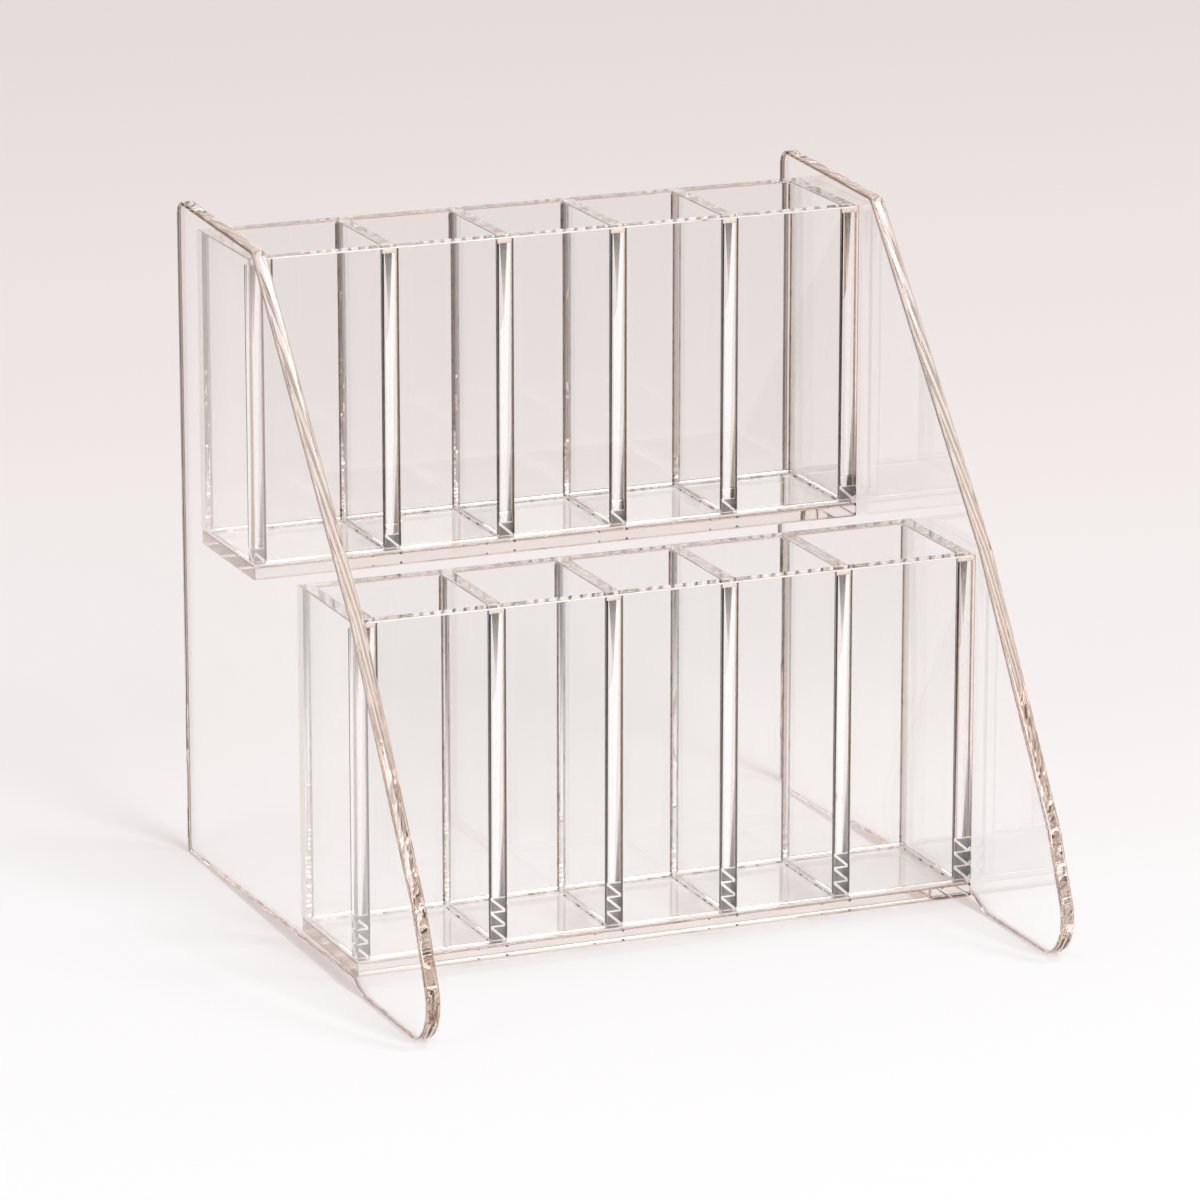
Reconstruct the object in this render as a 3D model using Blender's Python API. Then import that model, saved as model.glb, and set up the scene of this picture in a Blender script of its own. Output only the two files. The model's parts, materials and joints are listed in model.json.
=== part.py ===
"""Two-tier display stand for nail files, bonded from clear acrylic sheet.

Metres, +Z up. X runs across the stand and the slots open upwards. The front faces -Y.
The origin is on the table, at the middle of the stand's outline.

Two shaped side panels carry two open-topped trays. Each tray is a floor with a back, a front
and two ends standing on it, and dividers that part it into slots for upright files.
"""

import math

import bmesh
import bpy
from mathutils import Vector

# Sheet stock and bonded joints
SHEET = 0.003
JOINT_GAP = 0.0003
EDGE_POLISH = 0.0003
POLISH_STEPS = 2

# File slots, alike in both trays
MIDDLE_SLOT_COUNT = 3
MIDDLE_SLOT_WIDTH = 0.022
END_SLOT_WIDTH = 0.024
SLOT_DEPTH = 0.0255

# Trays: heights are measured over the floor and the walls that stand on it
LOWER_TRAY_CLEARANCE = 0.0023
LOWER_TRAY_HEIGHT = 0.0725
UPPER_TRAY_HEIGHT = 0.0665
TIER_RISE = 0.0667
TIER_SPACING = 0.0257

# Side panels: how far their outline stands off the trays
REAR_MARGIN = 0.0098
TOP_MARGIN = 0.0025
TOP_FRONT_MARGIN = 0.0045
KNEE_FRONT_MARGIN = 0.001
KNEE_TOP_MARGIN = 0.001
SHIN_REACH = 0.0338
SHIN_HEIGHT = 0.026
NOSE_REACH = 0.0405
REAR_CREST_RISE = 0.002

# Side panels: corners and the foot
NOSE_RADIUS = 0.009
TOP_CORNER_RADIUS = 0.003
HEEL_RADIUS = 0.001
HEEL_LENGTH = 0.008
FOOT_LENGTH = 0.026
RELIEF_HEIGHT = 0.0022
RELIEF_RUN = 0.006
RELIEF_FILLET = 0.001
ARC_STEP = math.radians(9)
MIN_ARC_STEPS = 2

# A polished edge on a side panel is one where its faces turn by more than this
POLISHED_EDGE_ANGLE = math.radians(60)

# Finish of the clear sheet
CLEAR_COLOUR = (0.97, 0.945, 0.925, 1.0)
CLEAR_ROUGHNESS = 0.02
CLEAR_METALLIC = 0.0
CLEAR_TRANSMISSION = 1.0
CLEAR_IOR = 1.49

# Worked out from the sizes above
slot_widths = [END_SLOT_WIDTH] + [MIDDLE_SLOT_WIDTH] * MIDDLE_SLOT_COUNT + [END_SLOT_WIDTH]
divider_count = len(slot_widths) - 1
tray_length = sum(slot_widths) + (divider_count + 2) * SHEET
tray_depth = SLOT_DEPTH + 2 * SHEET
wall_base = SHEET + JOINT_GAP
side_inner_face = tray_length / 2 + JOINT_GAP
upper_tray_base = LOWER_TRAY_CLEARANCE + TIER_RISE
upper_tray_rear = REAR_MARGIN
lower_tray_rear = upper_tray_rear + tray_depth + TIER_SPACING
stand_depth = lower_tray_rear + tray_depth + NOSE_REACH


def clear_scene():
    """Remove whatever the file opened with."""
    for old in list(bpy.data.objects):
        bpy.data.objects.remove(old, do_unlink=True)


def clear_sheet(name):
    """Polished clear acrylic for one piece."""
    material = bpy.data.materials.new(name + "_acrylic")
    material.use_nodes = True
    shader = material.node_tree.nodes["Principled BSDF"]
    shader.inputs["Base Color"].default_value = CLEAR_COLOUR
    shader.inputs["Roughness"].default_value = CLEAR_ROUGHNESS
    shader.inputs["Metallic"].default_value = CLEAR_METALLIC
    shader.inputs["Transmission Weight"].default_value = CLEAR_TRANSMISSION
    shader.inputs["IOR"].default_value = CLEAR_IOR
    return material


def group_origin(name, location, parent=None):
    """An empty that carries the pieces of one assembly."""
    empty = bpy.data.objects.new(name, None)
    empty.location = location
    empty.parent = parent
    bpy.context.scene.collection.objects.link(empty)
    return empty


def add_piece(name, mesh_source, location, parent):
    """Turn a finished bmesh into a named object with its own material."""
    mesh = bpy.data.meshes.new(name)
    mesh_source.to_mesh(mesh)
    mesh_source.free()
    piece = bpy.data.objects.new(name, mesh)
    piece.location = location
    piece.parent = parent
    mesh.materials.append(clear_sheet(name))
    bpy.context.scene.collection.objects.link(piece)
    return piece


def polish_edges(piece, limit_method):
    """Round the saw-cut edges slightly, as polishing leaves them."""
    bevel = piece.modifiers.new("polished_edges", "BEVEL")
    bevel.width = EDGE_POLISH
    bevel.segments = POLISH_STEPS
    bevel.limit_method = limit_method
    bevel.angle_limit = POLISHED_EDGE_ANGLE
    bevel.use_clamp_overlap = True


def flat_panel(name, low, high, parent, is_polished):
    """A rectangular sheet between two corners, polished along the edges that is_polished picks."""
    low = Vector(low)
    high = Vector(high)
    centre = (low + high) / 2
    size = high - low
    shape = bmesh.new()
    bmesh.ops.create_cube(shape, size=1.0)
    bmesh.ops.scale(shape, vec=size, verts=shape.verts)
    weights = shape.edges.layers.float.new("bevel_weight_edge")
    for edge in shape.edges:
        middle = (edge.verts[0].co + edge.verts[1].co) / 2
        direction = (edge.verts[1].co - edge.verts[0].co).normalized()
        edge[weights] = 1.0 if is_polished(middle, direction) else 0.0
    piece = add_piece(name, shape, centre, parent)
    polish_edges(piece, "WEIGHT")
    return piece


def top_edges_along_x(middle, direction):
    """The two long upper edges of a wall that runs across the stand."""
    return middle.z > 0 and abs(direction.x) > abs(direction.y) + abs(direction.z)


def top_edges_along_y(middle, direction):
    """The two long upper edges of a wall that runs from front to back."""
    return middle.z > 0 and abs(direction.y) > abs(direction.x) + abs(direction.z)


def bottom_edges_along_x(middle, direction):
    """The two long lower edges of a floor."""
    return middle.z < 0 and abs(direction.x) > abs(direction.y) + abs(direction.z)


def divider_positions():
    """The middle of each divider along the tray, from the left."""
    positions = []
    edge = -tray_length / 2 + SHEET
    for width in slot_widths[:-1]:
        edge += width
        positions.append(edge + SHEET / 2)
        edge += SHEET
    return positions


def build_tray(name, rear, base, height, stand):
    """One tray: rear is its distance from the stand's rear edge, base the height of its underside."""
    origin = group_origin(name, (0, stand_depth / 2 - rear, base), stand)
    half_length = tray_length / 2
    front_wall_rear = -tray_depth + SHEET
    inner_rear = -SHEET - JOINT_GAP
    inner_front = front_wall_rear + JOINT_GAP

    flat_panel(name + "_floor", (-half_length, -tray_depth, 0), (half_length, 0, SHEET), origin,
               bottom_edges_along_x)
    flat_panel(name + "_back_wall", (-half_length, -SHEET, wall_base), (half_length, 0, height), origin,
               top_edges_along_x)
    flat_panel(name + "_front_wall", (-half_length, -tray_depth, wall_base),
               (half_length, front_wall_rear, height), origin, top_edges_along_x)

    end_middle = half_length - SHEET / 2
    crosswise = [("_end_wall_left", -end_middle), ("_end_wall_right", end_middle)]
    crosswise += [(f"_divider_{number}", place) for number, place in enumerate(divider_positions(), 1)]
    for suffix, place in crosswise:
        flat_panel(name + suffix, (place - SHEET / 2, inner_front, wall_base),
                   (place + SHEET / 2, inner_rear, height), origin, top_edges_along_y)


def fillet(before, corner, after, radius):
    """Points of an arc of this radius that rounds a corner, or the corner alone where radius is zero."""
    if radius == 0:
        return [corner]
    to_before = (before - corner).normalized()
    to_after = (after - corner).normalized()
    half_angle = to_before.angle(to_after) / 2
    centre = corner + (to_before + to_after).normalized() * (radius / math.sin(half_angle))
    run = radius / math.tan(half_angle)
    start = corner + to_before * run - centre
    end = corner + to_after * run - centre
    turn = start.angle_signed(end)
    steps = max(MIN_ARC_STEPS, math.ceil(abs(turn) / ARC_STEP))
    start_angle = math.atan2(start.y, start.x)
    angles = [start_angle - turn * step / steps for step in range(steps + 1)]
    return [centre + Vector((math.cos(angle), math.sin(angle))) * radius for angle in angles]


def nose_corner(shin):
    """Where the lowest front edge, drawn from the shin past the round nose, would meet the table."""
    centre = Vector((stand_depth - NOSE_RADIUS, NOSE_RADIUS))
    to_shin = shin - centre
    lean = math.atan2(to_shin.y, to_shin.x) - math.acos(NOSE_RADIUS / to_shin.length)
    touch = centre + Vector((math.cos(lean), math.sin(lean))) * NOSE_RADIUS
    slope = (touch - shin) / (shin.y - touch.y)
    return shin + slope * shin.y


def side_outline():
    """The side panel's outline as points of distance from the rear edge, and height."""
    tray_top = upper_tray_base + UPPER_TRAY_HEIGHT
    crest = tray_top + TOP_MARGIN
    upper_front = upper_tray_rear + tray_depth
    lower_front = lower_tray_rear + tray_depth
    foot_start = stand_depth - NOSE_RADIUS - FOOT_LENGTH
    knee = Vector((lower_front + KNEE_FRONT_MARGIN,
                   LOWER_TRAY_CLEARANCE + LOWER_TRAY_HEIGHT + KNEE_TOP_MARGIN))
    shin = Vector((lower_front + SHIN_REACH, SHIN_HEIGHT))
    corners = [
        (Vector((0, 0)), HEEL_RADIUS),
        (Vector((HEEL_LENGTH, 0)), 0),
        (Vector((foot_start - RELIEF_RUN, RELIEF_HEIGHT)), RELIEF_FILLET),
        (Vector((foot_start, 0)), RELIEF_FILLET),
        (nose_corner(shin), NOSE_RADIUS),
        (shin, 0),
        (knee, 0),
        (Vector((upper_front + TOP_FRONT_MARGIN, crest)), TOP_CORNER_RADIUS),
        (Vector((0, crest + REAR_CREST_RISE)), TOP_CORNER_RADIUS),
    ]
    outline = []
    for index, (corner, radius) in enumerate(corners):
        before = corners[index - 1][0]
        after = corners[(index + 1) % len(corners)][0]
        outline += fillet(before, corner, after, radius)
    return outline


def side_panel(name, inner_face, outward, stand):
    """A shaped side, its inner face at inner_face and its sheet built outward from there."""
    shape = bmesh.new()
    points = [shape.verts.new((0, stand_depth / 2 - reach, height)) for reach, height in side_outline()]
    face = shape.faces.new(points)
    grown = bmesh.ops.extrude_face_region(shape, geom=[face])
    moved = [item for item in grown["geom"] if isinstance(item, bmesh.types.BMVert)]
    bmesh.ops.translate(shape, vec=(outward * SHEET, 0, 0), verts=moved)
    bmesh.ops.recalc_face_normals(shape, faces=shape.faces)
    piece = add_piece(name, shape, (inner_face, 0, 0), stand)
    polish_edges(piece, "ANGLE")
    return piece


def main():
    clear_scene()
    stand = group_origin("stand", (0, 0, 0))
    side_panel("side_panel_left", -side_inner_face, -1, stand)
    side_panel("side_panel_right", side_inner_face, 1, stand)
    build_tray("upper_tray", upper_tray_rear, upper_tray_base, UPPER_TRAY_HEIGHT, stand)
    build_tray("lower_tray", lower_tray_rear, LOWER_TRAY_CLEARANCE, LOWER_TRAY_HEIGHT, stand)


main()
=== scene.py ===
# %% [markdown]
# # A clear acrylic display stand for nail files
# The stand is cut from 3 mm clear sheet: two shaped side panels and two open trays, parted
# into slots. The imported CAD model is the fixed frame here. This script replaces its plain
# plates by polished ones in the same places, adds the cement in the joints, and lights it all
# like a product photo. Clear plastic shows only its edges, so the edges get most of the work.

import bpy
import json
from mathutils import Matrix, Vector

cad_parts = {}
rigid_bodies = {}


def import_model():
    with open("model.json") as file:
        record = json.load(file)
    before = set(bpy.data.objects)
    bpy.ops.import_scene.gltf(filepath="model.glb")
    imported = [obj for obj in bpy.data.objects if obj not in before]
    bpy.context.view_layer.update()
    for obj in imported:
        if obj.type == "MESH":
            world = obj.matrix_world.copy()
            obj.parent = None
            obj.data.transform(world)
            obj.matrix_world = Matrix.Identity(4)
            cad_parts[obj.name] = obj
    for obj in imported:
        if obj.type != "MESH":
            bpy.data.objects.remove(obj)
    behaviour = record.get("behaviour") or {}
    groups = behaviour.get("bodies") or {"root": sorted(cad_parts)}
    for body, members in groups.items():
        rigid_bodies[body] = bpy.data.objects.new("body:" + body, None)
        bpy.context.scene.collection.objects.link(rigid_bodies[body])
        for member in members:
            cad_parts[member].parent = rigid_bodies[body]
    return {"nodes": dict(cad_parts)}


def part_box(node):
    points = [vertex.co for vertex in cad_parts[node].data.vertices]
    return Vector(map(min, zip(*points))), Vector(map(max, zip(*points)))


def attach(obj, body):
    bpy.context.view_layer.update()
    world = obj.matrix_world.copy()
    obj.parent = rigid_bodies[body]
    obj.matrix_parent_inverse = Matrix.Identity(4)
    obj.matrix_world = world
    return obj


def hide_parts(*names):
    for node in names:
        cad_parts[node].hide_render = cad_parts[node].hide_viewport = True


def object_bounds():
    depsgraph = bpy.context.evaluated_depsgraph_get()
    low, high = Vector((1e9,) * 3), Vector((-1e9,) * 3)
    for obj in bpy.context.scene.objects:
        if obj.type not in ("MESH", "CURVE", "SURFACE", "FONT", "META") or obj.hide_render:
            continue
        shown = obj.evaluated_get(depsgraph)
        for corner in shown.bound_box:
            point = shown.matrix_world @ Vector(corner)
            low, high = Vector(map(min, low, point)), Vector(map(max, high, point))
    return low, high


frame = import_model()
cad_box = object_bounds()
print("CAD nodes:", len(frame["nodes"]))

# %% [markdown]
# Blender works in metres. The sheet and its joints are easier to picture in millimetres, so
# small sizes below are written as millimetres times MM.

# %% Units and modules
import json
import math
import random

import bmesh
import bpy
from mathutils import Vector

MM = 0.001
scene = bpy.context.scene
box_size = [round((high - low) / MM, 1) for low, high in zip(*cad_box)]
print("stand, mm:", box_size)

# %% [markdown]
# ## Camera
# A long lens from well back keeps the upright edges parallel, as they are in the photo. The
# camera stands to the left of the front and looks slightly down, so one panel shows its inner
# face and the other its outer face.

# %% Camera
CAMERA_AZIMUTH = math.radians(-22.76)
CAMERA_ELEVATION = math.radians(15.4)
CAMERA_DISTANCE = 1.314
CAMERA_TARGET = Vector((-4.2, 0.0, 65.4)) * MM
LENS = 195
SENSOR = 36

level = math.cos(CAMERA_ELEVATION)
to_camera = Vector((math.sin(CAMERA_AZIMUTH) * level, -math.cos(CAMERA_AZIMUTH) * level,
                    math.sin(CAMERA_ELEVATION)))
camera_data = bpy.data.cameras.new("photo_camera")
camera_data.lens = LENS
camera_data.sensor_width = SENSOR
camera_data.clip_start = 0.01
camera_data.clip_end = 50
camera = bpy.data.objects.new("photo_camera", camera_data)
camera.location = CAMERA_TARGET + to_camera * CAMERA_DISTANCE
camera.rotation_mode = "QUATERNION"
camera.rotation_quaternion = (-to_camera).to_track_quat("-Z", "Y")
scene.collection.objects.link(camera)
scene.camera = camera
print("camera at", [round(value, 3) for value in camera.location])

# %% [markdown]
# Light in a clear sheet bounces between its faces dozens of times before it leaves at an edge.
# With Blender's usual limit of twelve bounces those paths end early and the edges go black, so
# the limits are raised.

# %% Light paths
scene.view_settings.view_transform = "Standard"
scene.cycles.max_bounces = 64
scene.cycles.transmission_bounces = 48
scene.cycles.glossy_bounces = 48
scene.cycles.diffuse_bounces = 3
scene.cycles.transparent_max_bounces = 32
print("transmission bounces:", scene.cycles.transmission_bounces)

# %% [markdown]
# ## Shader helper
# Node trees are long to write by hand. The class below holds one node output, and arithmetic
# on it adds Math nodes, so a mask can be written as a formula. Its function "node" adds any
# other node, from its type, its settings and what goes into its sockets.

# %% A wire between nodes
class Wire:
    """One output of a node. Arithmetic on it adds Math nodes to its tree."""

    def __init__(self, socket):
        self.socket = socket
        self.tree = socket.id_data

    @staticmethod
    def node(tree, kind, settings=None, inputs=None, output=None):
        """Add a node, set it up, fill its sockets, and return a Wire from one of its outputs."""
        node = tree.nodes.new(kind)
        for name, value in (settings or {}).items():
            if name == "stops":
                Wire.set_stops(node.color_ramp.elements, value)
            else:
                setattr(node, name, value)
        for name, value in (inputs or {}).items():
            if isinstance(name, int):
                socket = node.inputs[name]
            else:
                socket = next(item for item in node.inputs if item.enabled and item.name == name)
            if isinstance(value, Wire):
                tree.links.new(value.socket, socket)
            elif socket.type == "RGBA" and len(value) == 3:
                socket.default_value = (*value, 1.0)
            else:
                socket.default_value = value
        shown = [item for item in node.outputs if item.enabled]
        if not shown:
            return node
        return Wire(next((item for item in shown if item.name == output), shown[0]))

    @staticmethod
    def set_stops(elements, stops):
        """Give a colour ramp these places and colours."""
        while len(elements) < len(stops):
            elements.new(1.0)
        for element, (place, colour) in zip(elements, stops):
            element.position = place
            element.color = (*colour, 1.0)

    def combined(self, operation, other=0.0):
        """The result of one Math node."""
        return Wire.node(self.tree, "ShaderNodeMath", {"operation": operation}, {0: self, 1: other})

    def __add__(self, other):
        return self.combined("ADD", other)

    __radd__ = __add__

    def __sub__(self, other):
        return self.combined("SUBTRACT", other)

    def __rsub__(self, other):
        return Wire.node(self.tree, "ShaderNodeMath", {"operation": "SUBTRACT"},
                         {0: other, 1: self})

    def __mul__(self, other):
        return self.combined("MULTIPLY", other)

    __rmul__ = __mul__


print("Wire is ready")

# %% [markdown]
# A few nodes come up in every finish. Each gets a short function, so that a material below
# reads like a recipe. The first ones ask where a point is, what the piece says about itself
# there, and which ray has met it.

# %% What a material can ask
def new_material(name):
    """A material, its empty node tree, and a Wire with the place of each point of the piece."""
    material = bpy.data.materials.new(name)
    material.use_nodes = True
    tree = material.node_tree
    tree.nodes.clear()
    return material, tree, Wire.node(tree, "ShaderNodeTexCoord", output="Object")


def attribute(tree, name):
    """A value that the piece carries on its points or faces."""
    return Wire.node(tree, "ShaderNodeAttribute", {"attribute_name": name}, output="Fac")


def ray_test(tree, output):
    """What the Light Path node says about the ray that meets the surface."""
    return Wire.node(tree, "ShaderNodeLightPath", output=output)


def part(vector, axis):
    """The X, Y or Z of a vector."""
    return Wire.node(vector.tree, "ShaderNodeSeparateXYZ", inputs={"Vector": vector}, output=axis)


print("questions are ready")

# %% [markdown]
# The next ones turn the answers into a look: noise for wear, a rise or a ramp that makes a
# mask or a colour of a number, a bump, and two ways to mix.

# %% From answers to a look
def noise(place, size, detail, seed=None):
    """Noise in cells of this size. A seed makes it 4D, with another pattern for each seed."""
    settings, inputs = {}, {"Vector": place, "Scale": 1 / size, "Detail": detail}
    if seed is not None:
        settings["noise_dimensions"] = "4D"
        inputs["W"] = seed
    return Wire.node(place.tree, "ShaderNodeTexNoise", settings, inputs)


def rise(value, start, end, top=1.0, kind="SMOOTHSTEP"):
    """Zero up to start, then a smooth or linear rise to top at the end."""
    return Wire.node(value.tree, "ShaderNodeMapRange", {"interpolation_type": kind},
                     {"Value": value, "From Min": start, "From Max": end, "To Max": top})


def ramp(value, stops):
    """The colour for a value, from a list of values with their colours."""
    return Wire.node(value.tree, "ShaderNodeValToRGB", {"stops": stops}, {"Fac": value})


def bump(height, strength, distance):
    """The normal of a surface with this height."""
    return Wire.node(height.tree, "ShaderNodeBump",
                     inputs={"Strength": strength, "Distance": distance, "Height": height})


def blend(factor, first, second):
    """The first colour where the factor is zero, the second where it is one."""
    return Wire.node(factor.tree, "ShaderNodeMix", {"data_type": "RGBA"},
                     {"Factor": factor, "A": first, "B": second})


def choose(factor, first, second):
    """The first shader where the factor is zero, the second where it is one."""
    return Wire.node(factor.tree, "ShaderNodeMixShader", inputs={0: factor, 1: first, 2: second})


print("looks are ready")

# %% [markdown]
# ## Clear acrylic
# The sheet is a glass-like plastic with a refractive index of 1.49. Its colour sits in its
# depth: a look through the face crosses 3 mm and stays clear, and a look along the sheet
# crosses several centimetres and turns peach. Volume Absorption does that from one colour and
# one density. The cut edges carry fine marks left by the saw and the buffing wheel, and the
# side panels have flats near the foot where the wheel dwelt. Those are a bump that follows the
# "cut_edge" attribute of each piece, with a warmer colour there that is partly the edge's own
# and partly painted: a peach glow and patches of painted shade for the light and dark that the
# edges show. Shadow rays and diffuse rays pass straight through, so that lamps light the floor
# under the stand without caustic noise.

# %% Tones and marks of the sheet
INDEX_OF_REFRACTION = 1.49
DEPTH_TINT = (0.85, 0.48, 0.20)
SHEET_TINT = (1.0, 0.998, 0.996)
# Cut-edge colours, a tint and a darker shade mixed in random patches: partly the edge's own warmth,
# partly painted glow and painted shade.
CLEAN_EDGE = ((1.0, 0.994, 0.988), (0.97, 0.95, 0.93))
WARM_EDGE = ((0.995, 0.965, 0.93), (0.93, 0.88, 0.83))
SHADOW_TINT = (0.974, 0.969, 0.967)
FILL_TINT = (0.994, 0.992, 0.991)
SAW_MARK = 0.5 * MM
SAW_MARK_STRETCH = 0.08
SAW_MARK_DEPTH = 0.010
SAW_MARK_HAZE = 0.02
WAVE_SIZE = 22 * MM
WAVE_DEPTH = 0.012
PATCH_SIZE = 9 * MM
SMUDGE_SIZE = 14 * MM
SMUDGE_HAZE = 0.008
FACET_SIZE = 6 * MM
FACET_TOP = 42 * MM
PANEL_FACET_DEPTH = 0.7
print("saw mark, mm:", SAW_MARK / MM)

# %% [markdown]
# Principled BSDF with full transmission does for the plastic. One function makes all three
# kinds of sheet, because a panel, a wall and a floor differ only in the way the light runs
# through them and in how their edges were worked.

# %% Acrylic material
def clear_plastic(colour, roughness, normal):
    """A surface like glass, with the refractive index of acrylic."""
    return Wire.node(colour.tree, "ShaderNodeBsdfPrincipled", inputs={
        "Base Color": colour, "Roughness": roughness, "IOR": INDEX_OF_REFRACTION,
        "Transmission Weight": 1.0, "Normal": normal})


def pass_rays(test, surface, tint):
    """Let the rays of this test straight through a surface, slightly tinted."""
    clear = Wire.node(surface.tree, "ShaderNodeBsdfTransparent", inputs={"Color": tint})
    return choose(ray_test(surface.tree, test), surface, clear)


def acrylic(name, thin_axis, seed, density, edge_tones, facet_depth):
    """Clear sheet whose thickness runs along thin_axis (0, 1 or 2). The depth is in mm."""
    edge_tint, edge_shade = edge_tones
    material, tree, place = new_material(name)
    cut_edge = attribute(tree, "cut_edge")

    across = [1.0, 1.0, 1.0]
    across[thin_axis] = SAW_MARK_STRETCH
    stretched = Wire.node(tree, "ShaderNodeMapping", inputs={
        "Vector": place, "Scale": [step / SAW_MARK for step in across]})
    saw_marks = noise(stretched, 1.0, 2.0, seed)
    waves = noise(place, WAVE_SIZE, 1.0, seed + 1)
    patches = noise(place, PATCH_SIZE, 3.0, seed + 2)
    smudges = noise(place, SMUDGE_SIZE, 4.0, seed + 3)
    cells = Wire.node(tree, "ShaderNodeTexVoronoi",
                      inputs={"Vector": place, "Scale": 1 / FACET_SIZE})
    facets = cells * cut_edge * rise(part(place, "Z"), FACET_TOP, 0.5 * FACET_TOP)

    colour = blend(cut_edge, SHEET_TINT, ramp(patches, [(0.38, edge_shade), (0.52, edge_tint)]))
    smudge = rise(smudges, 0.62, 0.75, SMUDGE_HAZE, "LINEAR")
    roughness = smudge + cut_edge * saw_marks * SAW_MARK_HAZE
    height = saw_marks * cut_edge * SAW_MARK_DEPTH + waves * WAVE_DEPTH + facets * facet_depth
    plastic = clear_plastic(colour, roughness, bump(height, 1.0, MM))
    filled = pass_rays("Is Diffuse Ray", plastic, FILL_TINT)
    surface = pass_rays("Is Shadow Ray", filled, SHADOW_TINT)
    depth = Wire.node(tree, "ShaderNodeVolumeAbsorption",
                      inputs={"Color": DEPTH_TINT, "Density": density})
    Wire.node(tree, "ShaderNodeOutputMaterial", inputs={"Surface": surface, "Volume": depth})
    return material


panel_acrylic = acrylic("panel_acrylic", thin_axis=0, seed=1.0, density=2.4,
                        edge_tones=WARM_EDGE, facet_depth=PANEL_FACET_DEPTH)
wall_acrylic = acrylic("wall_acrylic", thin_axis=1, seed=3.0, density=1.3,
                       edge_tones=CLEAN_EDGE, facet_depth=0.0)
floor_acrylic = acrylic("floor_acrylic", thin_axis=2, seed=4.0, density=3.0,
                        edge_tones=CLEAN_EDGE, facet_depth=0.0)
print("acrylic materials:", panel_acrylic.name, wall_acrylic.name, floor_acrylic.name)

# %% [markdown]
# ## Cement and trapped air
# Solvent cement creeps into a joint and dries as a thin clear thread along it, with tiny air
# bubbles where the two sheets didn't quite meet. A thread of clear plastic works as a lens: it
# looks dark at its sides and bright in the middle. That, and painted shade on the threads up
# the inner corners, draws the fine double lines in every corner of the trays.

# %% Cement material
# The grey here is painted shade: it darkens the threads into the dark joint lines.
CEMENT_PAINTED_SHADE = (0.16, 0.145, 0.135)
CEMENT_CLEAR = (0.97, 0.965, 0.96)
CEMENT_HAZE = 0.02
BEAD_SIZE = 1.6 * MM
BEAD_HEIGHT = 0.1 * MM


def dried_cement(name):
    """Clear cement, painted grey for shade where its shade attribute says so, and grey in small
    beads.
    """
    material, tree, place = new_material(name)
    beads = noise(place, BEAD_SIZE, 2.0)
    smoke = attribute(tree, "smoke")
    spots = rise(beads, 0.56, 0.62, 0.7, "LINEAR")
    colour = blend(smoke + spots * (1 - smoke), CEMENT_CLEAR, CEMENT_PAINTED_SHADE)
    plastic = clear_plastic(colour, CEMENT_HAZE, bump(beads, 0.6, BEAD_HEIGHT))
    surface = pass_rays("Is Shadow Ray", plastic, SHADOW_TINT)
    Wire.node(tree, "ShaderNodeOutputMaterial", inputs={"Surface": surface})
    return material


cement = dried_cement("dried_cement")
print("cement bead, mm:", BEAD_SIZE / MM)

# %% [markdown]
# ## Finished pieces
# Every new piece is told two things: the body it moves with and the CAD nodes it replaces. One
# helper does this for all of them; the finish comes with its mesh.

# %% Put a piece into the stand
def place_piece(name, mesh, replaced=()):
    """Show a mesh as a piece of the stand, in place of the CAD nodes named."""
    piece = bpy.data.objects.new(name, mesh)
    scene.collection.objects.link(piece)
    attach(piece, "root")
    if replaced:
        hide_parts(*replaced)
    print(name, "faces:", len(mesh.polygons))
    return piece


def finished_mesh(shape, name, material):
    """Turn a bmesh into a mesh with its material."""
    mesh = bpy.data.meshes.new(name)
    shape.to_mesh(mesh)
    shape.free()
    if material:
        mesh.materials.append(material)
    return mesh


print("a piece rides on the body: root")

# %% [markdown]
# ## Side panels
# Each side is one sheet cut to a shaped outline: a flat foot with a round nose, a short shin,
# a slope in front of the lower tray, a knee, a long slope up to the top, and a relief under
# the middle so that it stands on its foot and heel. The outline is a list of corners with a
# radius each. The edge is then rounded by drawing the same outline several times across the
# sheet, a little smaller at both faces, and joining the rings.

# %% Outline of a side panel
NOSE_RADIUS = 9 * MM
NOSE_REACH = -69.5 * MM
SHIN = Vector((-62.8, 26.0)) * MM
KNEE = Vector((-30.0, 75.8)) * MM
ARC_STEP = math.radians(4)


def fillet(before, corner, after, radius):
    """Points of the arc that rounds a corner, or the corner alone where radius is zero."""
    if radius == 0:
        return [corner]
    to_before = (before - corner).normalized()
    to_after = (after - corner).normalized()
    half_angle = to_before.angle(to_after) / 2
    centre = corner + (to_before + to_after).normalized() * (radius / math.sin(half_angle))
    run = radius / math.tan(half_angle)
    start = corner + to_before * run - centre
    end = corner + to_after * run - centre
    turn = start.angle_signed(end)
    steps = max(2, math.ceil(abs(turn) / ARC_STEP))
    first = math.atan2(start.y, start.x)
    angles = [first - turn * step / steps for step in range(steps + 1)]
    return [centre + Vector((math.cos(angle), math.sin(angle))) * radius for angle in angles]


def nose_corner():
    """Where the lowest front edge, drawn on past the round nose, would meet the table."""
    centre = Vector((NOSE_REACH + NOSE_RADIUS, NOSE_RADIUS))
    to_shin = SHIN - centre
    lean = math.atan2(to_shin.y, to_shin.x) + math.acos(NOSE_RADIUS / to_shin.length)
    touch = centre + Vector((math.cos(lean), math.sin(lean))) * NOSE_RADIUS
    return SHIN + (touch - SHIN) / (SHIN.y - touch.y) * SHIN.y


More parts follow.
